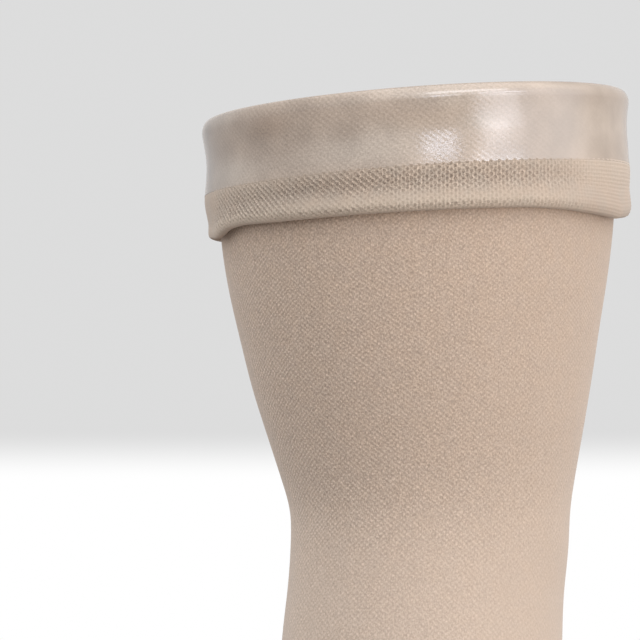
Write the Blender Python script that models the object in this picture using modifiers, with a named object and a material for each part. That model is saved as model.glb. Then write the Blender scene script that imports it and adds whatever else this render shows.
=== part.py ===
"""Compression arm sleeve, worn, with its top band turned outward into a cuff.

Four pieces of cloth: a seamless knitted tube from the upper arm to the wrist, a grip
band that stands up inside the cuff, folds over and hangs outside, a thin silicone film
on the band's turned-out face, and the doubled edge at the wrist.

Everything is laid round one form, the arm that fills the sleeve and is itself not
built.  A place on it is a height along the arm, an angle round it and a distance out
from the skin, so pieces that lie on each other share their points.

Frame: metres, +Z up along the upper arm, -Y to the front of the arm.  The origin is on
the arm's line, level with the middle of the cuff.
"""
import math
from collections import namedtuple

import bmesh
import bpy
from mathutils import Vector

COLLECTION_NAME = "compression_arm_sleeve"

MM = 0.001                   # sizes below are in millimetres, degrees and plain ratios
SIDES = 48                   # facets round every piece

# ---------------------------------------------------------------- driving sizes
UPPER_ARM_RADIUS = 53.0      # skin, at the middle of the cuff: 333 mm round
ELBOW_RADIUS = 36.8          # skin, at the elbow: 231 mm round
FOREARM_RADIUS = 37.2        # skin, at the fullest of the forearm
WRIST_RADIUS = 26.0          # skin, at the wrist edge: 163 mm round
CUFF_TILT = 3.8              # degrees by which the cuff's right side rides higher
FOREARM_SWING = 12.0         # degrees by which the forearm comes forward

SEAM_GAP = 0.3               # between pieces that meet or lie on each other
BODY_WALL = 1.1
BAND_WALL = 1.2
FILM_WALL = 0.5

CUFF_FOLD = 14.65            # height of the centre of the fold, from the cuff's middle
FOLD_RADIUS = 0.95           # of the band's mid-line round the fold
COAT_EDGE = -3.6             # height of the coating's lower edge on the outside
COAT_INNER_EDGE = 11.9       # height of its other edge, inside against the arm
ROLL_CENTRE = -14.5          # height of the centre of the rounded lower edge
ROLL_RADIUS = 1.8
STRIP_STEP = 1.0             # below the coating the strip thickens over this height

BODY_TOP = 4.9               # height of the seam between the body and the band
WRIST_SEAM = -322.0          # height of the seam between the body and the wrist edge
WELT_DEPTH = 12.0
WELT_WALL = 1.9
WELT_BEVEL = 0.5             # corner taken off the welt's rims

# ---------------------------------------------------------------- the arm's form
# Each row is a level section of the skin: its centre, its half sizes, and how much its
# plane rises towards the right (rise) and towards the front (lift), in degrees.
ArmRow = namedtuple("ArmRow", "name height right front half_width half_depth rise lift")

ARM = [
    ArmRow("above_cuff", 24.0, -0.4, 0.0, UPPER_ARM_RADIUS + 0.6,
           UPPER_ARM_RADIUS + 0.6, CUFF_TILT, 0.0),
    ArmRow("cuff", 0.0, 0.1, 0.0, UPPER_ARM_RADIUS,
           UPPER_ARM_RADIUS, CUFF_TILT + 0.5, 0.0),
    ArmRow("cuff_foot", -18.0, 0.1, 0.0, UPPER_ARM_RADIUS - 0.6,
           UPPER_ARM_RADIUS - 0.6, CUFF_TILT - 1.0, 0.0),
    ArmRow("below_cuff", -30.0, 0.3, 0.0, UPPER_ARM_RADIUS - 2.2,
           UPPER_ARM_RADIUS - 2.2, 2.5, 0.0),
    ArmRow("muscle_low", -45.0, 0.8, -0.3, UPPER_ARM_RADIUS - 5.1,
           UPPER_ARM_RADIUS - 5.3, 2.5, 0.0),
    ArmRow("taper_upper", -59.0, 1.5, -1.0, 45.1, 44.6, 2.5, 0.0),
    ArmRow("taper_middle", -72.0, 2.4, -2.0, 42.0, 41.2, 2.0, 0.0),
    ArmRow("taper_lower", -83.0, 3.1, -2.7, 39.3, 38.4, 1.5, 1.0),
    ArmRow("elbow_upper", -93.0, 3.6, -2.9, ELBOW_RADIUS + 0.3,
           ELBOW_RADIUS - 0.2, 0.5, 2.0),
    ArmRow("elbow", -103.0, 3.4, -2.4, ELBOW_RADIUS, ELBOW_RADIUS - 0.6, -1.0, 4.0),
    ArmRow("elbow_lower", -114.0, 2.4, -1.0, ELBOW_RADIUS - 0.4,
           ELBOW_RADIUS - 0.4, -2.5, 7.0),
    ArmRow("forearm_top", -128.0, 1.3, 1.6, ELBOW_RADIUS,
           ELBOW_RADIUS, -3.5, 9.5),
    ArmRow("forearm_full", -152.0, -0.1, 6.4, FOREARM_RADIUS,
           FOREARM_RADIUS, -3.5, FOREARM_SWING),
    ArmRow("forearm_middle", -190.0, -2.3, 14.5, 35.9, 35.9, -3.0, FOREARM_SWING),
    ArmRow("forearm_lower", -235.0, -4.6, 24.0, 31.9, 32.2, -3.0, FOREARM_SWING),
    ArmRow("forearm_end", -278.0, -6.8, 33.2, 28.2, 28.6, -3.0, FOREARM_SWING),
    ArmRow("wrist", -305.0, -8.2, 38.9, WRIST_RADIUS + 0.5,
           WRIST_RADIUS + 0.7, -3.0, FOREARM_SWING),
    ArmRow("hand_side", -336.0, -9.8, 45.5, WRIST_RADIUS,
           WRIST_RADIUS, -3.0, FOREARM_SWING),
]

# ---------------------------------------------------------------- the cuff's section
# The band's mid-line, from its seam up inside, over the fold and down outside.  The
# fold itself is an arc between the rows "fold_inside" and "fold_outside".
BandRow = namedtuple("BandRow", "name height out wall")

BAND_INSIDE = [
    BandRow("seam", BODY_TOP + SEAM_GAP, 0.60, BAND_WALL),
    BandRow("coat_inside", COAT_INNER_EDGE - SEAM_GAP, 1.35, BAND_WALL),
    BandRow("fold_inside", CUFF_FOLD, 1.40, BAND_WALL),
]
BAND_OUTSIDE = [
    BandRow("fold_outside", CUFF_FOLD, 3.30, BAND_WALL),
    BandRow("waist", 5.0, 2.75, BAND_WALL),
    BandRow("coat_edge", COAT_EDGE - SEAM_GAP, 3.00, BAND_WALL),
    BandRow("strip_top", COAT_EDGE - STRIP_STEP, 3.40, 2.8),
    BandRow("strip_middle", -6.5, 3.65, 3.4),
    BandRow("roll_top", -10.5, 3.75, 3.7),
    BandRow("roll_end", ROLL_CENTRE, 3.70, 2 * ROLL_RADIUS),
]
FOLD_STEPS = 4               # chords round the fold
ROLL_STEPS = 4               # chords round the rolled edge

# ---------------------------------------------------------------- finishes
# colour is linear RGB
Finish = namedtuple("Finish", "name colour roughness coat")

BODY_KNIT = Finish("fine_knit", (0.474, 0.352, 0.275), 0.85, 0.0)
BAND_KNIT = Finish("honeycomb_knit", (0.520, 0.393, 0.305), 0.85, 0.0)
GRIP_FILM = Finish("grip_silicone", (0.560, 0.450, 0.380), 0.28, 0.6)
WELT_KNIT = Finish("welt_knit", (0.450, 0.334, 0.260), 0.85, 0.0)


# ---------------------------------------------------------------- geometry
def arm_row(height):
    """The arm's section at a height, straight between the table's rows."""
    for upper, lower in zip(ARM, ARM[1:]):
        if height >= lower.height:
            break
    share = (upper.height - height) / (upper.height - lower.height)
    values = [a + (b - a) * share for a, b in zip(upper[1:], lower[1:])]
    return ArmRow("between", *values)


def on_arm(height, angle, out=0.0):
    """A point at an angle round the arm, a distance out from its skin, in metres."""
    row = arm_row(height)
    right = (row.half_width + out) * math.cos(angle)
    back = (row.half_depth + out) * math.sin(angle)
    up = right * math.tan(math.radians(row.rise)) - back * math.tan(math.radians(row.lift))
    return Vector((row.right + right, back - row.front, height + up)) * MM


def arc(centre_out, centre_height, radius, start, end, steps):
    """Points (out, height) strictly between the ends of an arc, angles in degrees."""
    points = []
    for i in range(1, steps):
        turn = math.radians(start + (end - start) * i / steps)
        points.append((centre_out + radius * math.cos(turn),
                       centre_height + radius * math.sin(turn)))
    return points


def band_midline():
    """The band's mid-line as (out, height, wall), seam to rolled edge."""
    inside = [(row.out, row.height, row.wall) for row in BAND_INSIDE]
    outside = [(row.out, row.height, row.wall) for row in BAND_OUTSIDE]
    centre_out = inside[-1][0] + FOLD_RADIUS
    fold = [(out, height, BAND_WALL) for out, height in
            arc(centre_out, CUFF_FOLD, FOLD_RADIUS, 180, 0, FOLD_STEPS)]
    return inside + fold + outside


def film_midline():
    """The coated stretch of the band's mid-line, moved out to where the film lies."""
    lift_off = BAND_WALL / 2 + SEAM_GAP + FILM_WALL / 2
    centre_out = BAND_INSIDE[-1].out + FOLD_RADIUS
    waist = next(row for row in BAND_OUTSIDE if row.name == "waist")
    edge = next(row for row in BAND_OUTSIDE if row.name == "coat_edge")
    inside_out = BAND_INSIDE[-1].out - lift_off
    path = [(inside_out, COAT_INNER_EDGE), (inside_out, CUFF_FOLD)]
    path += arc(centre_out, CUFF_FOLD, FOLD_RADIUS + lift_off, 180, 0, FOLD_STEPS)
    path += [(BAND_OUTSIDE[0].out + lift_off, CUFF_FOLD),
             (waist.out + lift_off, waist.height),
             (edge.out + lift_off, COAT_EDGE)]
    return [(out, height, FILM_WALL) for out, height in path]


def wall_outline(midline, round_end=False):
    """The closed outline of a wall of given thickness about its mid-line.

    The mid-line runs with the outer side on its left hand, and the outline comes back
    as (out, height) points, down the outer side first.
    """
    left, right = [], []
    last = len(midline) - 1
    for i, (out, height, wall) in enumerate(midline):
        before = midline[max(i - 1, 0)]
        after = midline[min(i + 1, last)]
        along = Vector((after[0] - before[0], after[1] - before[1])).normalized()
        normal = Vector((-along.y, along.x)) * (wall / 2)
        left.append((out + normal.x, height + normal.y))
        right.append((out - normal.x, height - normal.y))
    end = []
    if round_end:
        out, height, wall = midline[-1]
        end = arc(out, height, wall / 2, 0, -180, ROLL_STEPS)
    return left + end + right[::-1]


def link_object(name, mesh, finish):
    """Put a mesh in the object's collection, smooth, with its own material."""
    material = bpy.data.materials.new(finish.name)
    material.use_nodes = True
    shader = material.node_tree.nodes["Principled BSDF"]
    shader.inputs["Base Color"].default_value = (*finish.colour, 1.0)
    shader.inputs["Roughness"].default_value = finish.roughness
    shader.inputs["Metallic"].default_value = 0.0
    shader.inputs["Coat Weight"].default_value = finish.coat
    material.diffuse_color = (*finish.colour, 1.0)
    mesh.materials.append(material)
    mesh.shade_smooth()
    mesh.set_sharp_from_angle(angle=math.radians(50))
    piece = bpy.data.objects.new(name, mesh)
    bpy.data.collections[COLLECTION_NAME].objects.link(piece)
    return piece


def lay_round(name, rows, closed):
    """A mesh of rows of points laid round the arm; a closed one joins last to first.

    rows holds one (out, height) for each ring, ordered down the outer side.
    """
    bm = bmesh.new()
    rings = []
    for out, height in rows:
        ring = [bm.verts.new(on_arm(height, 2 * math.pi * k / SIDES, out))
                for k in range(SIDES)]
        rings.append(ring)
    pairs = list(zip(rings, rings[1:]))
    if closed:
        pairs.append((rings[-1], rings[0]))
    for upper, lower in pairs:
        for k in range(SIDES):
            n = (k + 1) % SIDES
            bm.faces.new((upper[k], lower[k], lower[n], upper[n]))
    mesh = bpy.data.meshes.new(name)
    bm.to_mesh(mesh)
    bm.free()
    return mesh


# ---------------------------------------------------------------- pieces
def build_sleeve_body():
    """The knitted tube: its outer face through the arm's rows, thickened inward."""
    heights = [BODY_TOP]
    heights += [row.height for row in ARM if WRIST_SEAM < row.height < BODY_TOP]
    heights += [WRIST_SEAM]
    mesh = lay_round("sleeve_body", [(BODY_WALL, height) for height in heights], False)
    body = link_object("sleeve_body", mesh, BODY_KNIT)
    wall = body.modifiers.new("wall", "SOLIDIFY")
    wall.thickness = BODY_WALL * MM
    wall.offset = -1.0
    wall.use_even_offset = True


def build_grip_band():
    """The honeycomb band: up inside, over the fold, down outside to its rolled edge."""
    outline = wall_outline(band_midline(), round_end=True)
    link_object("grip_band", lay_round("grip_band", outline, True), BAND_KNIT)


def build_grip_coating():
    """The silicone film on the band's turned-out face."""
    outline = wall_outline(film_midline())
    link_object("grip_coating", lay_round("grip_coating", outline, True), GRIP_FILM)


def build_wrist_welt():
    """The doubled edge at the wrist, a little thicker than the tube it ends."""
    top = WRIST_SEAM - SEAM_GAP
    foot = top - WELT_DEPTH
    outline = [
        (WELT_WALL - WELT_BEVEL, top),
        (WELT_WALL, top - WELT_BEVEL),
        (WELT_WALL, foot + WELT_BEVEL),
        (WELT_WALL - WELT_BEVEL, foot),
        (WELT_BEVEL, foot),
        (0.0, foot + WELT_BEVEL),
        (0.0, top - WELT_BEVEL),
        (WELT_BEVEL, top),
    ]
    link_object("wrist_welt", lay_round("wrist_welt", outline, True), WELT_KNIT)


def main():
    for old in list(bpy.data.objects):
        bpy.data.objects.remove(old)
    collection = bpy.data.collections.new(COLLECTION_NAME)
    bpy.context.scene.collection.children.link(collection)
    build_sleeve_body()
    build_grip_band()
    build_grip_coating()
    build_wrist_welt()


main()
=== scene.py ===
"""Compression arm sleeve, worn, with its silicone-coated grip band turned out into a cuff.

The knitted tube, the honeycomb grip band with its rolled edge, the film on the band and
the doubled edge at the wrist are each made by an operator of their own, round one form:
the arm that fills the sleeve, which isn't built itself.  A place on the form is a height
along the arm, an angle round it and a distance out from the skin.

Lengths in the tables are millimetres and angles are degrees; the properties are metres.
"""

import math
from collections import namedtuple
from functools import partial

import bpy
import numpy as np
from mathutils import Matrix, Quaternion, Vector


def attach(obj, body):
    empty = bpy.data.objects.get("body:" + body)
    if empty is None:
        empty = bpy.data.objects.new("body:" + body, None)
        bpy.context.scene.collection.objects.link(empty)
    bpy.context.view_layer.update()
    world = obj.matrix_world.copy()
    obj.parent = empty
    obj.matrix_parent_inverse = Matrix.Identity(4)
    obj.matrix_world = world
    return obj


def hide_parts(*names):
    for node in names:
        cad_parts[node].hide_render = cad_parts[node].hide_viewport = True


bl_info = {
    "name": "Compression arm sleeve",
    "version": (1, 0, 0),
    "blender": (4, 5, 0),
    "location": "View3D > Sidebar > Sleeve",
    "description": "Builds a worn knitted compression sleeve with a turned-out grip band",
    "category": "Object",
}

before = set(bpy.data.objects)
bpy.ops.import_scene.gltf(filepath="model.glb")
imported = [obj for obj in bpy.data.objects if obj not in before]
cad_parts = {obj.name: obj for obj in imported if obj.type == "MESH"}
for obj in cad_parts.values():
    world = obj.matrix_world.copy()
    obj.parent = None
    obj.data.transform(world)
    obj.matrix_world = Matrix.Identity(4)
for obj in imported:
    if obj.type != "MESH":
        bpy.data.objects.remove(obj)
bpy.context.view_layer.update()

MM = 0.001
FRONT = -90.0                # angle round the arm at which every ring starts

# ---------------- the arm's form
UPPER_ARM_RADIUS = 53.0      # skin, at the middle of the cuff

# Each row is a level section of the skin: its centre, its half sizes, and how much its
# plane rises towards the right (rise, the cuff's tilt) and towards the front (lift, the
# forearm's swing).
ArmRow = namedtuple("ArmRow", "name height right front half_width half_depth rise lift")
ARM = [ArmRow(*row) for row in [
    ("above_cuff", 24.0, -0.4, 0.0, 53.6, 53.6, 3.8, 0.0),
    ("cuff", 0.0, 0.1, 0.0, UPPER_ARM_RADIUS, UPPER_ARM_RADIUS, 4.3, 0.0),
    ("cuff_foot", -18.0, 0.1, 0.0, 52.4, 52.4, 2.8, 0.0),
    ("below_cuff", -30.0, 0.3, 0.0, 50.8, 50.8, 2.5, 0.0),
    ("muscle_low", -45.0, 0.8, -0.3, 47.9, 47.7, 2.5, 0.0),
    ("taper_upper", -59.0, 1.5, -1.0, 45.1, 44.6, 2.5, 0.0),
    ("taper_middle", -72.0, 2.4, -2.0, 42.0, 41.2, 2.0, 0.0),
    ("taper_lower", -83.0, 3.1, -2.7, 39.3, 38.4, 1.5, 1.0),
    ("elbow_upper", -93.0, 3.6, -2.9, 37.1, 36.6, 0.5, 2.0),
    ("elbow", -103.0, 3.4, -2.4, 36.8, 36.2, -1.0, 4.0),
    ("elbow_lower", -114.0, 2.4, -1.0, 36.4, 36.4, -2.5, 7.0),
    ("forearm_top", -128.0, 1.3, 1.6, 36.8, 36.8, -3.5, 9.5),
    ("forearm_full", -152.0, -0.1, 6.4, 37.2, 37.2, -3.5, 12.0),
    ("forearm_middle", -190.0, -2.3, 14.5, 35.9, 35.9, -3.0, 12.0),
    ("forearm_lower", -235.0, -4.6, 24.0, 31.9, 32.2, -3.0, 12.0),
    ("forearm_end", -278.0, -6.8, 33.2, 28.2, 28.6, -3.0, 12.0),
    ("wrist", -305.0, -8.2, 38.9, 26.5, 26.7, -3.0, 12.0),
    ("hand_side", -336.0, -9.8, 45.5, 26.0, 26.0, -3.0, 12.0),
]]

# ---------------- heights and walls of the pieces
SEAM_GAP = 0.3               # between pieces that lie on each other
BAND_SEAM = 5.05             # where the tube and the grip band are joined
WRIST_SEAM = -322.15         # where the tube and its doubled edge are joined
BODY_WALL = 1.1
BAND_WALL = 1.2
FILM_WALL = 0.5
FOLD_HEIGHT = 14.65          # centre of the fold
FOLD_RADIUS = 0.95           # of the band's mid-line round the fold
FOLD_INSIDE = 1.4            # how far out that line stands where it enters the fold
FOLD_DROP = 3.6              # how far down the film's fold rounds, outside
FOLD_TURN = 0.1              # how soon past its crest it begins to
FILM_EDGE = -3.6             # the film's lower edge, outside
FILM_THINNING = 2.5          # how far above that edge the film thins
FILM_THINNEST = 0.1          # and the share of its wall that is left there
FILM_INNER_EDGE = 11.9       # its other edge, inside against the arm
WELT_DEPTH = 12.0
WELT_WALL = 1.9
WELT_ROUNDING = 0.8          # of the wrist edge's two rims
SIDE_DRAW = 0.2              # how much wider the band's knit is drawn at the right
KNIT_SLANT = 0.35            # how much one slant of the band's holes outweighs the other

# Outlines of the walls, as (out, height) points: of the band's mid-line before and after
# its fold, of the strip's face, its rolled hem and its back, and of the film's face.
BAND_INSIDE = [(0.60, BAND_SEAM), (1.30, 11.0)]
BAND_OUTSIDE = [(2.95, 9.5), (2.75, 5.0), (2.80, 0.5), (3.00, FILM_EDGE + 0.4)]
STRIP_FACE = [(4.25, FILM_EDGE + 0.8), (4.46, FILM_EDGE), (4.52, -5.0), (4.50, -7.0),
              (4.66, -8.8), (5.12, -10.5), (5.55, -12.2), (5.64, -13.3), (5.42, -14.2)]
STRIP_ROLL = [(5.42, -14.2), (4.95, -15.00), (4.20, -15.35), (3.20, -15.30),
              (2.30, -14.9), (1.75, -14.0)]
STRIP_BACK = [(1.75, -14.0), (1.70, -10.5), (1.85, -6.5), (2.2, -4.4),
              (2.6, FILM_EDGE + 0.8)]
FILM_FACE = [(4.38, 10.0), (4.16, 6.0), (4.16, 3.0), (4.24, 0.0), (4.37, -2.0),
             (4.52, FILM_EDGE)]
FILM_TIP = (4.525, FILM_EDGE - 0.04)

# ---------------- how fine the meshes are
ROW_STEP = 0.5               # between the softened sections of the arm
PRESSED_STEP = 0.2125        # along the strip's face, where the holes are pressed in
EDGE_STEP = 0.4              # along the film and the wrist edge
BAND_STEP = 0.6              # along the folded web
HIDDEN_STEP = 1.5            # where nothing shows
OUTER_ROWS = 220             # down the tube's outer face
INNER_ROWS = 60              # and up its inner face
FOLD_STEPS = 12              # of the web round the fold
FILM_FOLD_STEPS = 20         # and of the film
STRIP_FACES = 6              # round the strip in each repeat of the knit
BAND_FACES = 2               # and round the web
WELT_FACES = 3               # and round the wrist edge

# ---------------- soft relief
# A swell is a soft hollow or bulge: where it is, how far it reaches round and along the
# arm, and how far its middle stands out.
Swell = namedtuple("Swell", "name angle height around along out")

BODY_SWELLS = [
    Swell("inner_elbow_hollow", -78.0, -98.0, 17.0, 13.0, -0.5),
    Swell("forearm_swell", -82.0, -140.0, 24.0, 20.0, 0.5),
]
CUFF_SWELLS = [
    Swell("left_side", 180.0, 3.0, 45.0, 24.0, 0.85),
    Swell("waist_left", 180.0, 5.5, 45.0, 6.5, -0.55),
    Swell("waist_front", -95.0, 6.5, 45.0, 6.0, -0.20),
    Swell("waist_right", 0.0, 9.5, 35.0, 4.0, -0.15),
    Swell("foot_right", 0.0, -2.5, 35.0, 7.0, 0.50),
]
STRIP_SWELLS = [
    Swell("shoulder_right", 0.0, -6.8, 35.0, 2.5, 0.22),
    Swell("hem_right", 0.0, -13.0, 35.0, 2.5, -0.12),
    Swell("hem_left", 180.0, -12.6, 22.0, 3.6, -1.85),
]
FACE_START = 2.3             # how far out the strip's own swells begin to move it
FACE_BLEND = 2.0             # and how much further out they move it fully


# ---------------- the form
# How far each column of the arm's table is softened along the arm, in millimetres.
SOFTENING = ArmRow("softening", 0.0, 3.0, 9.0, 3.0, 8.0, 5.0, 10.0)


def softened_rows():
    """Heights every row step and the arm's sections there, curved and softened."""
    table = np.array([row[1:] for row in ARM])[::-1]
    at, values = table[:, 0], table[:, 1:]
    tangent = np.gradient(values, at, axis=0)
    height = np.arange(at[0], at[-1] + ROW_STEP / 2, ROW_STEP)
    i = np.clip(np.searchsorted(at, height) - 1, 0, len(at) - 2)
    gap = (at[i + 1] - at[i])[:, None]
    t = (height - at[i])[:, None] / gap
    curve = ((2 * t**3 - 3 * t**2 + 1) * values[i]
             + (t**3 - 2 * t**2 + t) * gap * tangent[i]
             + (3 * t**2 - 2 * t**3) * values[i + 1]
             + (t**3 - t**2) * gap * tangent[i + 1])
    pad = round(4 * max(SOFTENING[2:]) / ROW_STEP)
    reach = np.arange(1, pad + 1)[:, None]
    below = curve[:1] - reach[::-1] * (curve[1] - curve[0])
    above = curve[-1:] + reach * (curve[-1] - curve[-2])
    curve = np.vstack([below, curve, above])
    soft = []
    for column, width in zip(curve.T, SOFTENING[2:]):
        spread = np.exp(-0.5 * (ROW_STEP * np.arange(-pad, pad + 1) / width) ** 2)
        soft.append(np.convolve(column, spread / spread.sum(), "valid"))
    return height, np.stack(soft, -1)


SOFT_HEIGHTS, SOFT_ROWS = softened_rows()


def row_values(height):
    """The arm's section at an array of heights."""
    return np.stack([np.interp(height, SOFT_HEIGHTS, column) for column in SOFT_ROWS.T], -1)


def on_arm(height, angle, out):
    """Points in metres at heights, angles (degrees) and distances out from the skin."""
    height, angle, out = np.broadcast_arrays(height, np.radians(angle), out)
    right, front, half_width, half_depth, rise, lift = np.moveaxis(row_values(height), -1, 0)
    x = (half_width + out) * np.cos(angle)
    y = (half_depth + out) * np.sin(angle)
    up = x * np.tan(np.radians(rise)) - y * np.tan(np.radians(lift))
    return np.stack([right + x, y - front, height + up], -1) * MM


def half_turn(angle):
    """Angles brought to between -180 and 180 degrees."""
    return (angle + 180.0) % 360.0 - 180.0


def swell_out(swells, height, angle, radius):
    """How far the swells push a place out, in millimetres."""
    total = np.zeros(np.broadcast(height, angle).shape)
    for swell in swells:
        across = np.radians(half_turn(angle - swell.angle)) * radius / swell.around
        along = (height - swell.height) / swell.along
        total = total + swell.out * np.exp(-across ** 2 - along ** 2)
    return total


def column_at(rows, places, label, where):
    """A column of a table read at places given by another of its columns."""
    rows = sorted(rows, key=lambda row: getattr(row, places))
    return np.interp(where, [getattr(row, places) for row in rows],
                     [getattr(row, label) for row in rows])


def ring_angles(columns):
    """Angles of a closed ring from the front round to the front again, as one row."""
    return FRONT + 360.0 * np.arange(columns + 1)[None, :] / columns


def fold_points(radius, steps):
    """(out, height) points round the fold, from its inner side over to its outer one."""
    turn = np.radians(np.linspace(180.0, 0.0, steps + 1))
    return np.stack([FOLD_INSIDE + FOLD_RADIUS + radius * np.cos(turn),
                     FOLD_HEIGHT + radius * np.sin(turn)], -1)


def smooth_path(points, step):
    """A Catmull-Rom curve through (out, height) points, read about every step."""
    points = np.asarray(points, float)
    ends = np.vstack([2 * points[0] - points[1], points, 2 * points[-1] - points[-2]])
    parts = []
    for i in range(len(points) - 1):
        a, b, c, d = ends[i:i + 4]
        count = max(1, round(float(np.linalg.norm(c - b)) / step))
        t = (np.arange(count) / count)[:, None]
        parts.append(0.5 * (2 * b + (c - a) * t + (2 * a - 5 * b + 4 * c - d) * t**2
                            + (3 * b - a - 3 * c + d) * t**3))
    parts.append(points[-1:])
    return np.vstack(parts)


def offset(path, distance):
    """A path of (out, height) points moved to its left."""
    along = np.gradient(path, axis=0)
    along /= np.linalg.norm(along, axis=1)[:, None]
    return path + distance * np.stack([-along[:, 1], along[:, 0]], -1)


def path_length(path):
    """Distance along a path at each of its points."""
    return np.concatenate([[0.0], np.cumsum(np.linalg.norm(np.diff(path, axis=0), axis=1))])


# ---------------- meshes
def closed_tube(name, points, places, material, values):
    """An object from a grid of points closed both ways, first row and column repeated
    as the last, with the knit's places as its texture map and named values at its points."""
    rows, columns = points.shape[0] - 1, points.shape[1] - 1
    index = np.pad(np.arange(rows * columns).reshape(rows, columns), (0, 1), mode="wrap")
    corners = [(0, 0), (1, 0), (1, 1), (0, 1)]
    spans = [(slice(i, rows + i), slice(j, columns + j)) for i, j in corners]
    faces = np.stack([index[span] for span in spans], -1).reshape(-1, 4)
    maps = np.stack([places[span] for span in spans], -2).reshape(-1, 2)
    mesh = bpy.data.meshes.new(name)
    mesh.from_pydata(points[:-1, :-1].reshape(-1, 3), [], faces)
    mesh.uv_layers.new(name="knit").uv.foreach_set("vector", maps.astype(np.float32).ravel())
    for label, value in values.items():
        value = np.broadcast_to(value, points.shape[:2])[:-1, :-1].astype(np.float32)
        mesh.attributes.new(label, "FLOAT", "POINT").data.foreach_set("value", value.ravel())
    mesh.shade_smooth()
    mesh.materials.append(material)
    piece = bpy.data.objects.new(name, mesh)
    bpy.context.scene.collection.objects.link(piece)
    return piece


# ---------------- node helpers
# How fine each noise is, in waves a metre.
WANDER_WAVES = (450.0, 610.0)        # of the stitches' paths, across and down
FRAY_WAVES = 2200.0                  # of the holes' rims
PATCH_WAVES = 700.0                  # of where the holes close
FUZZ_WAVES = 2500.0                  # of the yarn's fibres
CLOTH_WAVES = 90.0                   # of the cloth's clouds
WARM_WAVES = 210.0                   # of its warmer patches
STITCH_WAVES = 1.7                   # from stitch to stitch, in waves a repeat
PATCHY = (0.35, 0.65)                # the part of a noise that its patches fade over


def new_group(name, values, outputs):
    """A shader node group fed with a place in the knit and named values, which puts out
    named values; returns it with its input and output nodes."""
    group = bpy.data.node_groups.new(name, "ShaderNodeTree")
    group.interface.new_socket("Place", in_out="INPUT", socket_type="NodeSocketVector")
    for label, default in values.items():
        socket = group.interface.new_socket(label, in_out="INPUT",
                                            socket_type="NodeSocketFloat")
        socket.default_value = default
    for label in outputs:
        group.interface.new_socket(label, in_out="OUTPUT", socket_type="NodeSocketFloat")
    return group, group.nodes.new("NodeGroupInput"), group.nodes.new("NodeGroupOutput")


def feed(tree, value, socket):
    """Link an output to an input, or set the input to a number, a vector or a colour."""
    if isinstance(value, bpy.types.NodeSocket):
        tree.links.new(value, socket)
    else:
        socket.default_value = (*value, 1.0) if socket.type == "RGBA" else value


def math_node(kind, operation, output, tree, *values):
    """A node of arithmetic fed by sockets or numbers; returns its output."""
    node = tree.nodes.new(kind)
    node.operation = operation
    for value, socket in zip(values, node.inputs):
        feed(tree, value, socket)
    return node.outputs[output]


plus, minus, times, cosine = [
    partial(math_node, "ShaderNodeMath", operation, "Value")
    for operation in ("ADD", "SUBTRACT", "MULTIPLY", "COSINE")]
scaled = partial(math_node, "ShaderNodeVectorMath", "MULTIPLY", "Vector")
dot = partial(math_node, "ShaderNodeVectorMath", "DOT_PRODUCT", "Value")


def range_node(tree, value, low, high):
    """A smooth rise from 0 to 1 between two values; returns its output."""
    node = tree.nodes.new("ShaderNodeMapRange")
    node.interpolation_type = "SMOOTHSTEP"
    for given, socket in zip((value, low, high), node.inputs):
        feed(tree, given, socket)
    return node.outputs["Result"]


def noise_node(tree, vector, waves, detail=2.0):
    """A Noise texture; returns its factor output."""
    node = tree.nodes.new("ShaderNodeTexNoise")
    tree.links.new(vector, node.inputs["Vector"])
    node.inputs["Scale"].default_value = waves
    node.inputs["Detail"].default_value = detail
    return node.outputs["Fac"]


def centred_noise(group, where, waves, amount, detail=2.0):
    """Noise about zero, as wide as an amount; returns its output."""
    return times(group, minus(group, noise_node(group, where, waves, detail), 0.5), amount)


def mix_node(kind, first, output, tree, *values):
    """A Mix node fed by an amount and two values or colours; returns its output."""
    node = tree.nodes.new("ShaderNodeMix")
    node.data_type = kind
    for value, socket in zip(values, (node.inputs[0], *node.inputs[first:first + 2])):
        feed(tree, value, socket)
    return node.outputs[output]


blend_values = partial(mix_node, "FLOAT", 2, 0)
mix_colour = partial(mix_node, "RGBA", 6, 2)


def lattice_group(name):
    """Staggered holes of a knit, from a place in repeats (x) and courses (y)."""
    group, source, result = new_group(
        name,
        {"Open": 1.0, "Wander": 0.1, "Slant": 0.0, "Narrow": 0.0, "Uneven": 0.5,
         "Fade": 0.5, "Rim": -0.05, "Core": 0.55, "Level": 0.0},
        ["Holes", "Yarn", "Ribs"])
    socket = source.outputs
    where = group.nodes.new("ShaderNodeTexCoord").outputs["Object"]
    split = group.nodes.new("ShaderNodeSeparateXYZ")
    group.links.new(socket["Place"], split.inputs[0])
    places = (split.outputs["X"], times(group, split.outputs["Y"], 0.5))
    across, down = [
        plus(group, place, centred_noise(group, where, waves, socket["Wander"]))
        for place, waves in zip(places, WANDER_WAVES)]
    side, rise, lean = [cosine(group, times(group, phase, 2 * math.pi))
                        for phase in (across, down, minus(group, across, down))]
    squared = times(group, side, side)
    ribs = times(group, minus(group, 0.5, squared), socket["Open"])
    side = blend_values(group, socket["Narrow"], side, times(group, squared, side))
    wave = blend_values(group, socket["Slant"], times(group, side, rise), lean)
    fibres = scaled(group, where, (1.0, 1.0, 0.6))
    wave = plus(group, wave, centred_noise(group, fibres, FRAY_WAVES, socket["Uneven"]))
    span = range_node(group, wave, socket["Rim"], socket["Core"])
    patchy = range_node(group, noise_node(group, where, PATCH_WAVES), *PATCHY)
    clear = minus(group, 1.0, times(group, socket["Fade"], patchy))
    clear = times(group, socket["Open"], clear)
    holes = blend_values(group, clear, socket["Level"], span)
    group.links.new(holes, result.inputs["Holes"])
    group.links.new(minus(group, 1.0, holes), result.inputs["Yarn"])
    group.links.new(ribs, result.inputs["Ribs"])
    return group


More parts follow.
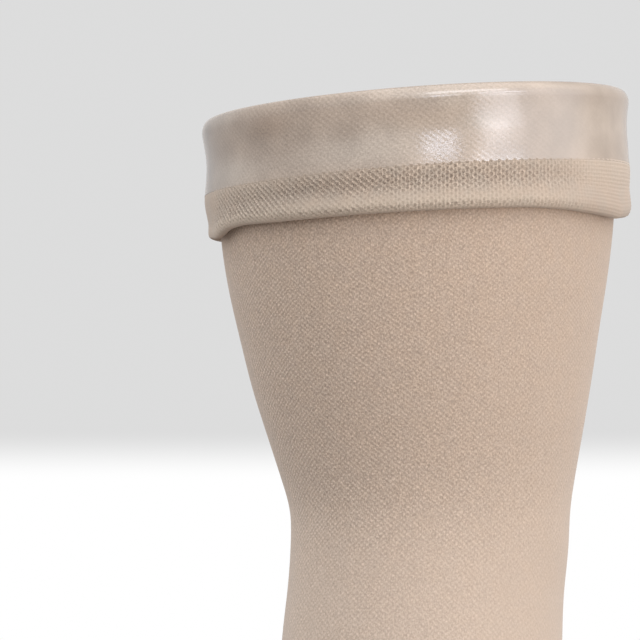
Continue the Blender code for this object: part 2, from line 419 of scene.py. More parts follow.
def mottle_group(name):
    """Uneven yarn: a value about 1 that changes along the yarn's fibres, from stitch to
    stitch and over the cloth, and a mask of where the yarn is warmer."""
    group, source, result = new_group(
        name, {"Open": 1.0, "Fuzz": 0.1, "Stitch": 0.1, "Cloth": 0.05}, ["Tint", "Warm"])
    socket = source.outputs
    where = group.nodes.new("ShaderNodeTexCoord").outputs["Object"]
    stitches = scaled(group, socket["Place"], (2.0, 1.0, 1.0))
    fibres = scaled(group, where, (1.0, 1.0, 0.7))
    total = plus(group, centred_noise(group, stitches, STITCH_WAVES, socket["Stitch"], 1.0),
                 centred_noise(group, fibres, FUZZ_WAVES, socket["Fuzz"]))
    total = plus(group, times(group, total, socket["Open"]),
                 centred_noise(group, where, CLOTH_WAVES, socket["Cloth"], 3.0))
    warm = range_node(group, noise_node(group, where, WARM_WAVES), *PATCHY)
    group.links.new(plus(group, total, 1.0), result.inputs["Tint"])
    group.links.new(warm, result.inputs["Warm"])
    return group


def new_material(name, roughness):
    """A material with its Principled shader; returns material, tree and shader."""
    material = bpy.data.materials.new(name)
    material.use_nodes = True
    shader = material.node_tree.nodes["Principled BSDF"]
    shader.inputs["Roughness"].default_value = roughness
    return material, material.node_tree, shader


def mesh_value(tree, name):
    """A value that a piece's mesh carries at its points."""
    node = tree.nodes.new("ShaderNodeAttribute")
    node.attribute_name = name
    return node.outputs["Fac"]


def place_group(tree, name, make, **values):
    """A group in a material, made if there is none of its name yet, and fed with the
    place in the knit, how open the knit is there and its own values; returns its outputs."""
    node = tree.nodes.new("ShaderNodeGroup")
    node.node_tree = bpy.data.node_groups.get(name) or make(name)
    place = tree.nodes.new("ShaderNodeUVMap")
    place.uv_map = "knit"
    values |= {"Place": place.outputs["UV"], "Open": mesh_value(tree, "open")}
    for label, value in values.items():
        feed(tree, value, node.inputs[label])
    return node.outputs


def bump(tree, shader, height, distance):
    """A Bump node from a height to the shader's normal."""
    node = tree.nodes.new("ShaderNodeBump")
    node.inputs["Distance"].default_value = distance
    tree.links.new(height, node.inputs["Height"])
    tree.links.new(node.outputs["Normal"], shader.inputs["Normal"])


KNIT_ROUGHNESS = 0.85
SHEEN_ROUGHNESS = 0.5
KNIT_SPECULAR = 0.2


def knit_material(name, look, lattice_values, mottle_values, sheen, ribs=0.0, shade=0.0):
    """A knit: yarn colour, a paler colour where the yarn is stretched and where light is
    painted in, lighter ribs, holes darkened with painted shade, uneven yarn, relief, a soft
    sheen and painted shade where it is open."""
    material, tree, shader = new_material(name, KNIT_ROUGHNESS)
    upright = mesh_value(tree, "upright")
    slant = times(tree, minus(tree, 1.0, upright), KNIT_SLANT)
    lattice = place_group(
        tree, "knit_lattice", lattice_group, Slant=slant, **lattice_values)
    yarn = place_group(tree, "yarn_mottle", mottle_group, **mottle_values)
    # Painted shade: the holes are darkened towards a colour that stands for the shadow inside
    # them.
    holes = times(tree, lattice["Holes"], look.hole_shade)
    base = mix_colour(tree, yarn["Warm"], look.yarn_colour, look.warm_colour)
    # Painted light: the yarn turns paler where the mesh's pale value marks stretched yarn and
    # painted light.
    base = mix_colour(tree, mesh_value(tree, "pale"), base, look.stretched_and_lit_colour)
    ribs = times(tree, times(tree, lattice["Ribs"], ribs), upright)
    # Painted shade: the yarn is darkened where the knit is open, most in the recess under the
    # film's edge.
    shade = times(tree, mesh_value(tree, "open"), shade)
    tone = minus(tree, plus(tree, yarn["Tint"], ribs), shade)
    colour = mix_colour(tree, holes, scaled(tree, base, tone), look.hole_shade_colour)
    tree.links.new(colour, shader.inputs["Base Color"])
    shader.inputs["Sheen Weight"].default_value = sheen
    shader.inputs["Sheen Roughness"].default_value = SHEEN_ROUGHNESS
    shader.inputs["Specular IOR Level"].default_value = KNIT_SPECULAR
    bump(tree, shader, lattice["Yarn"], look.relief)
    return material


# ---------------- properties
def colour_prop(name, description, default):
    """A colour that a user may change."""
    return bpy.props.FloatVectorProperty(
        name=name, description=description, default=default, subtype="COLOR")


def share_prop(name, description, default):
    """A share between 0 and 1."""
    return bpy.props.FloatProperty(
        name=name, description=description, default=default, subtype="FACTOR",
        min=0.0, max=1.0)


def length_prop(name, description, default):
    """A length in metres."""
    return bpy.props.FloatProperty(
        name=name, description=description, default=default, unit="LENGTH", precision=6)


def count_prop(name, description, default):
    """A number of faces or of the knit's repeats."""
    return bpy.props.IntProperty(name=name, description=description, default=default, min=12)


class SleeveBodyLook(bpy.types.PropertyGroup):
    """Sizes and colours of the knitted tube"""

    columns: count_prop("Columns", "Faces round the tube", 288)
    repeat: length_prop("Repeat", "Width of one knit repeat", 0.00178)
    upper_course: length_prop("Upper course", "Height of a course on the upper arm", 0.00065)
    lower_course: length_prop("Lower course", "Height of a course below the elbow", 0.00087)
    yarn_colour: colour_prop("Yarn", "Colour of the yarn", (0.510, 0.382, 0.297))
    warm_colour: colour_prop("Warm yarn", "Colour of the warmer patches", (0.518, 0.382, 0.291))
    # Painted light: this paler colour stands for stretched yarn and for light painted on the
    # cloth.
    stretched_and_lit_colour: colour_prop(
        "Stretched yarn", "Colour of yarn stretched thin", (0.56, 0.45, 0.37))
    # Painted shade: a dark colour in the holes stands for the shadow inside them.
    hole_shade_colour: colour_prop("Holes", "Colour deep between the stitches", (0.30, 0.20, 0.145))
    hole_shade: share_prop("Hole depth", "How dark the holes are", 0.36)
    relief: length_prop("Relief", "Height of the stitches", 0.0001)


class GripBandLook(bpy.types.PropertyGroup):
    """Sizes and colours of the honeycomb grip band"""

    repeats: count_prop("Repeats", "Honeycomb repeats round the band", 176)
    course: length_prop("Course", "Height of a row of holes", 0.00081)
    yarn_colour: colour_prop("Yarn", "Colour of the yarn", (0.432, 0.335, 0.267))
    warm_colour: colour_prop("Warm yarn", "Colour of the warmer patches", (0.445, 0.333, 0.258))
    # Painted light: this paler colour stands for light painted on the band's bulge, roll and
    # ribs.
    stretched_and_lit_colour: colour_prop(
        "Stretched yarn", "Colour of yarn stretched thin", (0.61, 0.485, 0.382))
    # Painted shade: a dark colour in the holes stands for the shadow inside them.
    hole_shade_colour: colour_prop("Holes", "Colour deep in the holes", (0.16, 0.105, 0.072))
    hole_shade: share_prop("Hole depth", "How dark the holes are", 0.56)
    relief: length_prop("Relief", "Depth of the holes", 0.00025)


class WristEdgeLook(bpy.types.PropertyGroup):
    """Sizes and colours of the doubled edge at the wrist"""

    repeats: count_prop("Repeats", "Knit repeats round the edge", 96)
    course: length_prop("Course", "Height of a course", 0.0008)
    yarn_colour: colour_prop("Yarn", "Colour of the yarn", (0.475, 0.354, 0.277))
    warm_colour: colour_prop("Warm yarn", "Colour of the warmer patches", (0.485, 0.354, 0.268))
    stretched_and_lit_colour: colour_prop(
        "Stretched yarn", "Colour of yarn stretched thin", (0.56, 0.45, 0.37))
    # Painted shade: a dark colour in the holes stands for the shadow inside them.
    hole_shade_colour: colour_prop("Holes", "Colour deep between the stitches", (0.28, 0.19, 0.135))
    hole_shade: share_prop("Hole depth", "How dark the holes are", 0.35)
    relief: length_prop("Relief", "Height of the stitches", 0.00015)


class FilmLook(bpy.types.PropertyGroup):
    """Sizes and colours of the silicone film"""

    columns: count_prop("Columns", "Faces round the film", 528)
    colour: colour_prop("Colour", "Colour of the film over its knit", (0.375, 0.281, 0.215))
    streak_colour: colour_prop(
        "Streaks", "Colour of the knit lines that show", (0.45, 0.342, 0.27))
    # Painted reflection and painted shade: these colours lighten the film where it would mirror
    # soft light and darken it where it would not.
    reflection_colour: colour_prop("Milky", "Colour where the film is milky", (0.50, 0.42, 0.355))
    shaded_colour: colour_prop("Clear", "Colour where the film is clear", (0.30, 0.205, 0.145))
    relief: length_prop("Relief", "Height of the knit lines in the film", 0.000013)
    roughness: share_prop("Roughness", "Roughness of the film", 0.18)
    dullness: share_prop("Dullness", "How much rougher the film is where it is rubbed", 0.22)
    gloss: bpy.props.FloatProperty(
        name="Gloss", description="Index of refraction of the film", default=1.6,
        min=1.0, max=2.0)


class StageLook(bpy.types.PropertyGroup):
    """Camera and floor"""

    distance: length_prop("Camera distance", "From the camera to the sleeve", 1.0)
    lens: bpy.props.FloatProperty(
        name="Lens", description="Focal length in millimetres", default=205.9)
    floor_height: length_prop("Floor", "Height of the floor", -0.45)
    floor_radius: length_prop("Floor radius", "Radius of the floor", 3.0)


# ---------------- operators
# How clear the stitches are at an angle, on the upper arm and on the forearm.
ClearSide = namedtuple("ClearSide", "angle upper lower")
BODY_SIDES = [ClearSide(*row) for row in [
    (-180.0, 0.60, 0.40), (-160.0, 1.05, 0.65), (-130.0, 0.98, 0.68),
    (-78.0, 0.78, 0.50), (-60.0, 0.65, 0.35), (-30.0, 0.50, 0.30), (60.0, 0.70, 0.50),
    (180.0, 0.45, 0.40),
]]
# Heights between which the one gives way to the other, and the courses widen.
CLEAR_BLEND = (-112.0, -90.0)
COURSE_BLEND = (-105.0, -45.0)
# How pale the yarn is at depths below the cuff: stretched yarn and painted light, lighter down
# the forearm that faces up to the light and over the shade above the elbow.
PALE_LIT_FOREARM = ([0.0, 25.0, 70.0, 135.0, 200.0, 300.0], [0.0, 0.03, 0.22, 0.45, 0.45, 0.2])


def body_opening(height, angle):
    """How clear the tube's stitches are at heights and angles."""
    turn = half_turn(angle)
    upper = column_at(BODY_SIDES, "angle", "upper", turn)
    lower = column_at(BODY_SIDES, "angle", "lower", turn)
    return lower + (upper - lower) * np.interp(height, CLEAR_BLEND, (0.0, 1.0))


class SLEEVE_OT_body(bpy.types.Operator):
    """Make the knitted tube from the grip band to the wrist"""

    bl_idname = "sleeve.body"
    bl_label = "Knitted tube"

    def execute(self, context):
        look = context.scene.sleeve_body_look
        angle = ring_angles(look.columns)
        section = closed_section(
            np.linspace((BODY_WALL, BAND_SEAM), (BODY_WALL, WRIST_SEAM), OUTER_ROWS),
            np.linspace((0.0, BAND_SEAM), (0.0, WRIST_SEAM), INNER_ROWS))
        out, height = section[:, :1], section[:, 1:]
        half_width = row_values(height)[..., 2]
        lift = swell_out(BODY_SWELLS, height, angle, half_width)
        points = on_arm(height, angle, out + lift)
        side = np.linalg.norm(np.diff(points, axis=1), axis=2)
        round_it = np.hstack([np.zeros((len(side), 1)), np.cumsum(side, axis=1)])
        round_it = np.minimum(round_it, round_it[:, -1:] - round_it)
        course = np.interp(height, COURSE_BLEND, (look.lower_course, look.upper_course))
        steps = np.abs(np.diff(height, axis=0)) * MM / (0.5 * (course[1:] + course[:-1]))
        down = np.vstack([[0.0], np.cumsum(steps, axis=0)])
        places = np.stack(np.broadcast_arrays(round_it / look.repeat, down), -1)
        material = knit_material(
            "fine_cloth", look,
            {"Wander": 0.3, "Uneven": 1.2, "Fade": 0.35, "Rim": -0.9, "Core": 0.5,
             "Level": 0.66},
            {"Fuzz": 1.6, "Stitch": 0.5, "Cloth": 0.06}, sheen=0.15)
        # The pale value paints light down the forearm and over the shade above the elbow, with
        # stretched yarn.
        values = {"open": body_opening(height, angle),
                  "pale": np.interp(-height, *PALE_LIT_FOREARM), "upright": 1.0}
        piece = closed_tube("sleeve_body_knit", points, places, material, values)
        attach(piece, "root")
        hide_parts("sleeve_body")
        return {"FINISHED"}


def band_path():
    """The band's mid-line from its seam, up inside, over the fold and down to the film's
    lower edge, as (out, height) points."""
    fold = fold_points(FOLD_RADIUS, FOLD_STEPS)
    inside = smooth_path([*BAND_INSIDE, fold[0]], BAND_STEP)
    outside = smooth_path([fold[-1], *BAND_OUTSIDE], BAND_STEP)
    return np.vstack([inside[:-1], fold, outside[1:]])


def closed_section(outer, inner):
    """A wall's outline: its outer path, then its inner path back, closed."""
    return np.vstack([outer, inner[::-1], outer[:1]])


def laid_round(section, angle, swells=(), face_swells=()):
    """A closed section carried round the arm; swells move only what is outside the fold,
    and face swells only the strip's outer face."""
    out, height = section[:, :1], section[:, 1:]
    lift = swell_out(swells, height, angle, UPPER_ARM_RADIUS)
    lift = lift * np.clip((out - FOLD_INSIDE) / FOLD_RADIUS, 0.0, 1.0)
    face_lift = swell_out(face_swells, height, angle, UPPER_ARM_RADIUS)
    lift = lift + face_lift * np.clip((out - FACE_START) / FACE_BLEND, 0.0, 1.0)
    return on_arm(height, angle, out + lift)


def band_places(section, angle, repeats, course):
    """Knit places of a band: whole repeats round it, drawn wider on its right side, and
    even courses."""
    turn = np.radians(angle - FRONT)
    turns = (turn - SIDE_DRAW * (1.0 - np.cos(turn))) / (2 * math.pi) * repeats
    down = path_length(section)[:, None] * MM / course
    return np.stack(np.broadcast_arrays(turns, down), -1)


class SLEEVE_OT_band(bpy.types.Operator):
    """Make the folded web of the grip band"""

    bl_idname = "sleeve.band"
    bl_label = "Grip band"

    def execute(self, context):
        look = context.scene.grip_band_look
        angle = ring_angles(look.repeats * BAND_FACES)
        path = band_path()
        section = closed_section(offset(path, BAND_WALL / 2), offset(path, -BAND_WALL / 2))
        points = laid_round(section, angle, CUFF_SWELLS)
        places = band_places(section, angle, look.repeats, look.course)
        # The band's knit takes painted shade where it is open, evenly over the folded web.
        material = knit_material(
            "honeycomb_cloth", look,
            {"Wander": 0.15, "Narrow": 0.3, "Uneven": 0.7, "Fade": 0.3, "Rim": -0.1,
             "Core": 0.65, "Level": 0.06},
            {"Fuzz": 1.5, "Stitch": 0.8, "Cloth": 0.1}, sheen=0.1, ribs=0.3, shade=0.1)
        piece = closed_tube("grip_band_knit", points, places, material,
                            {"open": 1.0, "upright": 1.0})
        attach(piece, "root")
        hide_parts("grip_band")
        return {"FINISHED"}


# How open the honeycomb is at a height, which also sets the painted shade in its yarn, and
# how much painted light makes its yarn paler, on the left and at the front of the strip,
# and on its ribs.
OpenRow = namedtuple("OpenRow", "name height left front left_pale front_pale rib_pale")
STRIP_OPENING = [
    OpenRow("under_film", -3.0, 0.50, 0.65, 0.5, 0.35, 0.34),
    OpenRow("upper", -7.0, 0.95, 1.02, 0.45, 0.12, 0.28),
    OpenRow("shoulder", -9.4, 1.05, 0.75, 0.30, 0.2, 0.10),
    OpenRow("bulge", -11.5, 1.15, 0.30, 0.5, 0.3, 0.0),
    OpenRow("lower", -13.2, 0.90, 0.42, 0.85, 0.64, 0.0),
    OpenRow("turn", -14.2, 0.50, 0.80, 0.8, 0.55, 0.0),
    OpenRow("hem", -15.3, 0.15, 0.30, 0.3, 0.3, 0.0),
]
# How much of that shows at an angle, how clear the fine ribs there are, and how far the
# hem sags.
StripSide = namedtuple("StripSide", "angle open ribbed sag")
STRIP_SIDES = [StripSide(*row) for row in [
    (-180.0, 0.05, 0.1, 0.6), (-170.0, 0.15, 0.1, 1.3), (-163.0, 0.28, 0.1, 1.9),
    (-160.0, 0.50, 0.1, 1.5), (-157.0, 0.70, 0.0, 0.6), (-153.0, 0.84, 0.0, 0.0),
    (-146.0, 1.00, 0.0, -0.4), (-132.0, 1.00, 0.0, 0.0), (-80.0, 1.00, 0.0, 0.0),
    (-60.0, 0.72, 0.0, 0.1), (-48.0, 0.45, 0.3, 0.7), (-38.0, 0.12, 1.0, 1.4),
    (-22.0, 0.11, 1.0, 2.4), (-5.0, 0.10, 1.0, 1.0), (18.0, 0.10, 1.0, -0.5),
    (35.0, 0.12, 1.0, -0.5), (80.0, 0.70, 0.2, 0.4), (150.0, 0.80, 0.1, 0.6),
    (180.0, 0.05, 0.1, 0.6),
]]
LEFT_BLEND = (-50.0, -30.0)  # angles from the front where the left gives way to it
SAG_REACH = 10.0             # how far under the film the hem sags fully
UPRIGHT_BLEND = (-112.0, -92.0)      # angles over which the holes lose their slant
UPRIGHT = 0.9                # and how much of it
HOLE_RIM = -0.05             # the knit's wave where a hole begins
HOLE_SPAN = 0.6              # and how much more of it makes the hole's full depth
RIB_DEPTH = 0.2              # of the fine ribs beside the holes'


def strip_values(height, angle):
    """How open, how pale with painted light, upright, ribbed and low the strip's knit is at
    heights and angles.
    """
    left, front, left_painted_light, front_painted_light, rib_painted_light = [
        column_at(STRIP_OPENING, "height", label, height) for label in OpenRow._fields[2:]]
    turn = half_turn(angle)
    leftness = np.interp(turn - FRONT, LEFT_BLEND, (1.0, 0.0))
    shown, ribbed, sag = [
        column_at(STRIP_SIDES, "angle", label, turn) for label in StripSide._fields[1:]]
    sag = sag * np.clip((FILM_EDGE - height) / SAG_REACH, 0.0, 1.0)
    upright = np.interp(turn, UPRIGHT_BLEND, (0.0, UPRIGHT))
    opening = (front + (left - front) * leftness) * shown
    # Painted light: paler yarn on the bulge, the roll and the ribs, where light falls.
    pale = (front_painted_light + (left_painted_light - front_painted_light) * leftness) * shown + rib_painted_light * ribbed
    return opening, pale, upright, ribbed, sag


class SLEEVE_OT_strip(bpy.types.Operator):
    """Make the uncoated honeycomb strip with its rolled edge"""

    bl_idname = "sleeve.strip"
    bl_label = "Honeycomb strip"

    def execute(self, context):
        look = context.scene.grip_band_look
        angle = ring_angles(look.repeats * STRIP_FACES)
        outer = smooth_path(STRIP_FACE, PRESSED_STEP)
        roll = smooth_path(STRIP_ROLL, PRESSED_STEP)
        inner = smooth_path(STRIP_BACK, HIDDEN_STEP)
        section = np.vstack([outer[:-1], roll, inner[1:], outer[:1]])
        points = laid_round(section, angle, CUFF_SWELLS, STRIP_SWELLS)
        places = band_places(section, angle, look.repeats, look.course)
        opening, pale, upright, ribbed, sag = strip_values(section[:, 1:], angle)
        points[..., 2] -= sag * MM
        side, rise = 2 * math.pi * places[..., 0], math.pi * places[..., 1]
        slant = KNIT_SLANT * (1.0 - upright)
        wave = (1.0 - slant) * np.cos(side) * np.cos(rise) + slant * np.cos(side - rise)
        holes = np.clip((wave - HOLE_RIM) / HOLE_SPAN, 0.0, 1.0)
        holes = holes * holes * (3 - 2 * holes) * opening
        holes = holes + ribbed * RIB_DEPTH * (1.0 - np.cos(2 * math.pi * places[..., 1]))
        dense = len(outer) + len(roll) - 2
        holes[dense:] = 0.0
        holes[0] = 0.0
        normal = np.cross(np.gradient(points, axis=1), np.gradient(points, axis=0))
        normal /= np.maximum(np.linalg.norm(normal, axis=2), 1e-12)[..., None]
        points = points - normal * (holes * look.relief)[..., None]
        material = bpy.data.materials["honeycomb_cloth"]
        values = {"open": opening, "pale": pale, "upright": upright}
        piece = closed_tube("honeycomb_strip", points, places, material, values)
        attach(piece, "root")
        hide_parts("grip_band")
        return {"FINISHED"}


def film_material(look):
    """The film: its knit showing through as faint slanting lines, under a gloss, with soft
    reflections and shade painted into its colour.
    """
    material, tree, shader = new_material("silicone_film", look.roughness)
    lattice = place_group(
        tree, "knit_lattice", lattice_group, Wander=0.25, Slant=KNIT_SLANT,
        Uneven=0.7, Fade=0.7, Rim=-0.9, Core=0.9, Level=0.5)
    yarn = place_group(tree, "yarn_mottle", mottle_group, Fuzz=0.35, Stitch=0.6, Cloth=0.55)
    # Painted reflection above 0 and painted shade below 0, from the film's mesh.
    reflected = range_node(tree, mesh_value(tree, "milk"), 0.0, 1.0)
    clear = range_node(tree, mesh_value(tree, "milk"), 0.0, -1.0)
    base = mix_colour(tree, lattice["Yarn"], look.colour, look.streak_colour)
    base = mix_colour(tree, reflected, base, look.reflection_colour)
    base = mix_colour(tree, clear, base, look.shaded_colour)
    tree.links.new(scaled(tree, base, yarn["Tint"]), shader.inputs["Base Color"])
    dull = times(tree, mesh_value(tree, "dull"), look.dullness)
    tree.links.new(plus(tree, dull, look.roughness), shader.inputs["Roughness"])
    shader.inputs["IOR"].default_value = look.gloss
    bump(tree, shader, lattice["Yarn"], look.relief)
    return material


# How clearly the knit shows through the film at an angle, and how dull the film is there.
FilmSide = namedtuple("FilmSide", "angle open dull")
FILM_SIDES = [FilmSide(*row) for row in [
    (-180.0, 0.2, 0.0), (-150.0, 0.6, 0.0), (-130.0, 1.0, 0.0), (-76.0, 1.0, 0.0),
    (-66.0, 0.5, 0.0), (-50.0, 0.15, 0.0), (0.0, 0.10, 0.0), (15.0, 0.3, 1.0),
    (60.0, 0.8, 1.0), (140.0, 0.8, 0.5), (180.0, 0.2, 0.0),
]]
# Where soft reflections are painted onto the film (out above 0) and where painted shade darkens
# it (below 0).
FILM_PAINTED_LIGHT = [
    Swell("clear_left", -134.5, 10.8, 10.0, 5.5, -0.60),
    Swell("clear_front_left", -110.0, 6.5, 5.0, 2.5, -0.20),
    Swell("milky_middle", -105.0, 6.0, 19.0, 4.0, 0.36),
    Swell("milky_front_top", -82.0, 12.5, 9.0, 3.5, 0.22),
    Swell("milky_between", -74.0, 7.0, 7.0, 3.0, 0.40),
    Swell("milky_left", -151.0, 0.0, 14.0, 6.5, 0.45),
    Swell("milky_front", -105.0, 0.0, 26.0, 4.5, 0.42),
    Swell("milky_crest", -96.0, 14.5, 30.0, 2.8, 0.30),
    Swell("milky_crest_left", -152.0, 14.5, 14.0, 3.5, 0.35),
    Swell("milky_right", -36.0, 6.5, 22.0, 13.0, 0.34),
]


class SLEEVE_OT_film(bpy.types.Operator):
    """Make the silicone film on the turned-out face of the band"""

    bl_idname = "sleeve.film"
    bl_label = "Silicone film"

    def execute(self, context):
        look = context.scene.film_look
        angle = ring_angles(look.columns)
        centre = FOLD_INSIDE + FOLD_RADIUS
        reach = FOLD_RADIUS + BAND_WALL / 2 + SEAM_GAP + FILM_WALL
        fold = fold_points(reach, FILM_FOLD_STEPS)
        drawn = np.interp(fold[:, 0], (centre, centre + FOLD_TURN), (1.0, FOLD_DROP / reach))
        crest = FOLD_HEIGHT + reach
        fold[:, 1] = crest - (crest - fold[:, 1]) * drawn
        outside = smooth_path([fold[-1], *FILM_FACE], EDGE_STEP)
        outer = np.vstack([[(fold[0][0], FILM_INNER_EDGE)], fold, outside[1:], [FILM_TIP]])
        thin = np.interp(outer[:, 1], (FILM_EDGE, FILM_EDGE + FILM_THINNING),
                         (FILM_THINNEST, 1.0))
        inner = offset(outer, -FILM_WALL * thin[:, None])
        section = closed_section(outer, inner)
        points = laid_round(section, angle, CUFF_SWELLS)
        band = context.scene.grip_band_look
        places = band_places(section, angle, band.repeats, band.course)
        values = {label: column_at(FILM_SIDES, "angle", label, half_turn(angle))
                  for label in ("open", "dull")}
        # Painted reflection and painted shade, laid out by the swells.
        values["milk"] = swell_out(FILM_PAINTED_LIGHT, section[:, 1:], angle, UPPER_ARM_RADIUS)
        piece = closed_tube("grip_film", points, places, film_material(look), values)
        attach(piece, "root")
        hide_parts("grip_coating")
        return {"FINISHED"}


class SLEEVE_OT_welt(bpy.types.Operator):
    """Make the doubled edge at the wrist"""

    bl_idname = "sleeve.welt"
    bl_label = "Wrist edge"

    def execute(self, context):
        look = context.scene.wrist_edge_look
        angle = ring_angles(look.repeats * WELT_FACES)
        top, foot = WRIST_SEAM, WRIST_SEAM - WELT_DEPTH
        below, above = top - WELT_ROUNDING, foot + WELT_ROUNDING
        half = WELT_WALL / 2
        outer = smooth_path([(half, top), (WELT_WALL, below), (WELT_WALL, above),
                             (half, foot)], EDGE_STEP)
        inner = smooth_path([(half, foot), (0.0, above), (0.0, below), (half, top)],
                            HIDDEN_STEP)
        section = np.vstack([outer[:-1], inner])
        points = laid_round(section, angle)
        places = band_places(section, angle, look.repeats, look.course)
        material = knit_material(
            "edge_cloth", look,
            {"Wander": 0.3, "Uneven": 0.9, "Fade": 0.3, "Rim": -0.9, "Core": 0.5,
             "Level": 0.66},
            {"Fuzz": 1.5, "Stitch": 0.5, "Cloth": 0.06}, sheen=0.15, ribs=0.2)
        piece = closed_tube("wrist_welt_knit", points, places, material,
                            {"open": 1.0, "upright": 1.0})
        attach(piece, "root")
        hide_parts("wrist_welt")
        return {"FINISHED"}


# A softbox: where it stands round the cuff and how it is rolled, its size in metres, its
# power, its colour, and whether it lights the cloth (fill) or only shines in the film.
Softbox = namedtuple("Softbox", "name azimuth elevation roll width height power colour use")
SOFTBOXES = [
    Softbox("key", 48.0, -11.0, 0.0, 0.60, 0.60, 7.8, (0.95, 0.94, 0.92), "fill"),
    Softbox("left_fill", -95.0, 0.0, 0.0, 0.60, 0.60, 0.9, (0.86, 0.95, 1.08), "fill"),
    Softbox("patch", 42.5, -2.0, -14.0, 0.55, 0.47, 2.5, (0.95, 0.98, 1.08), "shine"),
    Softbox("core", 42.0, 3.5, 0.0, 0.26, 0.12, 0.35, (0.95, 0.98, 1.08), "shine"),
    Softbox("oval", 10.5, 9.3, 0.0, 0.40, 0.08, 1.15, (0.90, 0.97, 1.15), "shine"),
    Softbox("edge", 43.0, 15.5, 0.0, 0.60, 0.11, 1.9, (0.92, 0.98, 1.12), "shine"),
    Softbox("crest", 25.0, 30.0, 0.0, 0.96, 0.26, 4.1, (0.94, 1.0, 1.10), "shine"),
]
SOFTBOX_DISTANCE = 1.3               # metres from the cuff
CAMERA_AIM = Vector((-0.0265, 0.0, -0.0413))
CAMERA_TIP = 2.45                    # how far the camera looks up
UP, BACK, LEFT = (0.0, 0.0, 1.0), (0.0, 1.0, 0.0), (-1.0, 0.0, 0.0)
GLOW_FROM = (0.93, -0.36, 0.05)      # the front right
# What surrounds the sleeve: along which direction it fades in over what is named before
# it, from where to where, and its colour.
Layer = namedtuple("Layer", "name along start end colour")
GROUND_LIGHT = (0.37, 0.365, 0.355)  # on the cloth from below
SKY = [Layer("sky", UP, -0.15, 0.15, (1.44, 1.53, 1.60))]
GROUND_SHINE = (0.30, 0.28, 0.26)    # what the film mirrors below
SHINES = [
    Layer("sky", UP, -0.10, 0.20, (1.35, 1.34, 1.33)),
    Layer("top", UP, 0.22, 0.50, (3.2, 3.15, 3.1)),
    Layer("glow", GLOW_FROM, 0.70, 1.0, (2.28, 2.55, 2.92)),
    Layer("back", BACK, -0.1, 0.6, (0.72, 0.73, 0.74)),
    Layer("left", LEFT, 0.1, 0.6, (0.33, 0.42, 0.50)),
]
HORIZON = (1.0, 1.0, 1.0)            # what the camera sees behind, at the horizon
WALL = [Layer("wall", UP, -0.001, 0.013, (0.72, 0.72, 0.72))]
FLOOR_SHADE = (0.78, 0.78, 0.78)     # the floor, and what is behind on every other side
FLOOR_SIDES = 96
AHEAD_RISE = (-0.08, -0.05)          # how far up the wall begins
AHEAD_TURN = (0.80, 0.97)            # and how squarely the camera has to face it


def towards(tree, along, start, end):
    """How far the directions of the world lie along one, as a smooth rise."""
    where = tree.nodes.new("ShaderNodeTexCoord").outputs["Generated"]
    return range_node(tree, dot(tree, where, along), start, end)


def layered(tree, colour, layers):
    """A colour with layers laid over it one by one; returns the output."""
    for layer in layers:
        amount = towards(tree, layer.along, layer.start, layer.end)
        colour = mix_colour(tree, amount, colour, layer.colour)
    return colour


def studio_world():
    """Soft light from above and a little from below, before a pale grey wall."""
    world = bpy.data.worlds.new("studio")
    world.use_nodes = True
    tree = world.node_tree
    light = layered(tree, GROUND_LIGHT, SKY)
    shine = layered(tree, GROUND_SHINE, SHINES)
    wall = layered(tree, HORIZON, WALL)
    ahead = times(tree, towards(tree, UP, *AHEAD_RISE), towards(tree, BACK, *AHEAD_TURN))
    wall = mix_colour(tree, ahead, FLOOR_SHADE, wall)
    path = tree.nodes.new("ShaderNodeLightPath")
    seen = mix_colour(tree, path.outputs["Is Glossy Ray"], light, shine)
    seen = mix_colour(tree, path.outputs["Is Camera Ray"], seen, wall)
    tree.links.new(seen, tree.nodes["Background"].inputs["Color"])
    return world


def make_camera(look):
    """The camera, before the cuff and a little below it, looking up."""
    tip = math.radians(CAMERA_TIP)
    camera = bpy.data.objects.new("camera", bpy.data.cameras.new("camera"))
    away = Vector((0.0, -math.cos(tip), -math.sin(tip)))
    camera.location = CAMERA_AIM + look.distance * away
    camera.rotation_euler = (math.radians(90.0) + tip, 0.0, 0.0)
    camera.data.lens = look.lens
    camera.data.clip_start = 0.01
    return camera


def make_softbox(box):
    """An area light that faces the cuff."""
    data = bpy.data.lights.new(box.name, "AREA")
    data.shape = "RECTANGLE"
    data.size, data.size_y = box.width, box.height
    data.energy = box.power
    data.color = box.colour
    lamp = bpy.data.objects.new(box.name, data)
    turn, tilt = math.radians(box.azimuth), math.radians(box.elevation)
    away = Vector((math.sin(turn) * math.cos(tilt), -math.cos(turn) * math.cos(tilt),
                   math.sin(tilt)))
    lamp.location = away * SOFTBOX_DISTANCE
    facing = away.to_track_quat("Z", "Y")
    facing = facing @ Quaternion((0.0, 0.0, 1.0), math.radians(box.roll))
    lamp.rotation_euler = facing.to_euler()
    lamp.visible_diffuse = box.use == "fill"
    lamp.visible_glossy = box.use == "shine"
    return lamp


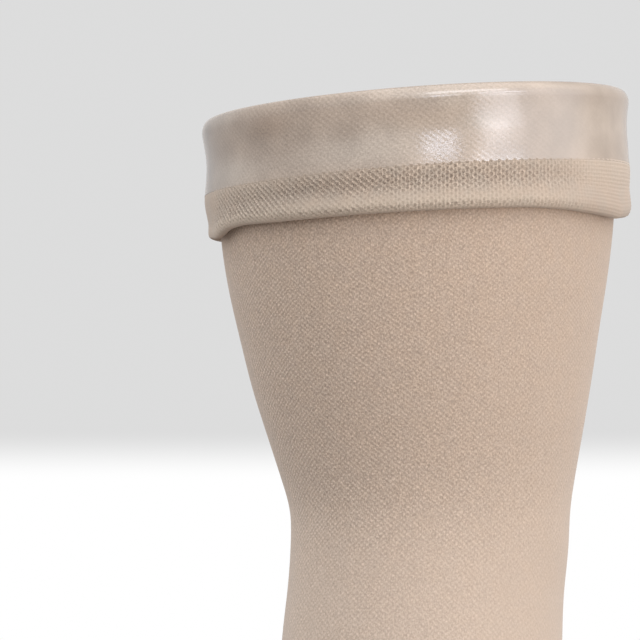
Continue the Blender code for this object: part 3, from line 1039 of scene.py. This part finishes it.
def make_floor(look):
    """An evenly bright disc that is clear from beneath, throws no light and takes no
    shadow."""
    turn = np.radians(ring_angles(FLOOR_SIDES)[0, 1:])
    rim = look.floor_radius * np.stack([np.cos(turn), np.sin(turn), 0.0 * turn], -1)
    disc = bpy.data.meshes.new("floor")
    disc.from_pydata(rim, [], [range(FLOOR_SIDES)])
    material, tree, shader = new_material("floor", roughness=0.9)
    shader.inputs["Base Color"].default_value = (0.0, 0.0, 0.0, 1.0)
    shader.inputs["Emission Color"].default_value = (*FLOOR_SHADE, 1.0)
    shader.inputs["Emission Strength"].default_value = 1.0
    shader.inputs["Specular IOR Level"].default_value = 0.0
    beneath = tree.nodes.new("ShaderNodeNewGeometry").outputs["Backfacing"]
    tree.links.new(minus(tree, 1.0, beneath), shader.inputs["Alpha"])
    disc.materials.append(material)
    floor = bpy.data.objects.new("floor", disc)
    floor.location = (0.0, 0.0, look.floor_height)
    floor.visible_diffuse = False
    floor.visible_shadow = False
    return floor


class SLEEVE_OT_stage(bpy.types.Operator):
    """Set the camera, the pale floor and the soft lights"""

    bl_idname = "sleeve.stage"
    bl_label = "Stage"

    def execute(self, context):
        scene = context.scene
        look = scene.stage_look
        scene.view_settings.view_transform = "Standard"
        scene.camera = make_camera(look)
        floor = make_floor(look)
        for item in [scene.camera, *map(make_softbox, SOFTBOXES), floor]:
            scene.collection.objects.link(item)
        scene.world = studio_world()
        return {"FINISHED"}


class SLEEVE_PT_panel(bpy.types.Panel):
    """Lists the pieces of the sleeve"""

    bl_label = "Compression sleeve"
    bl_idname = "SLEEVE_PT_panel"
    bl_space_type = "VIEW_3D"
    bl_region_type = "UI"
    bl_category = "Sleeve"

    def draw(self, context):
        for operator in OPERATORS:
            self.layout.operator(operator.bl_idname)


LOOKS = {
    "sleeve_body_look": SleeveBodyLook,
    "grip_band_look": GripBandLook,
    "wrist_edge_look": WristEdgeLook,
    "film_look": FilmLook,
    "stage_look": StageLook,
}
OPERATORS = [SLEEVE_OT_body, SLEEVE_OT_band, SLEEVE_OT_strip, SLEEVE_OT_film,
             SLEEVE_OT_welt, SLEEVE_OT_stage]


def register():
    for kind in [*LOOKS.values(), *OPERATORS, SLEEVE_PT_panel]:
        bpy.utils.register_class(kind)
    for name, kind in LOOKS.items():
        setattr(bpy.types.Scene, name, bpy.props.PointerProperty(type=kind))


def unregister():
    for name in LOOKS:
        delattr(bpy.types.Scene, name)
    for kind in [SLEEVE_PT_panel, *reversed(OPERATORS), *reversed(LOOKS.values())]:
        bpy.utils.unregister_class(kind)


def main():
    register()
    for operator in OPERATORS:
        group, name = operator.bl_idname.split(".")
        getattr(getattr(bpy.ops, group), name)()


if __name__ == "__main__":
    main()
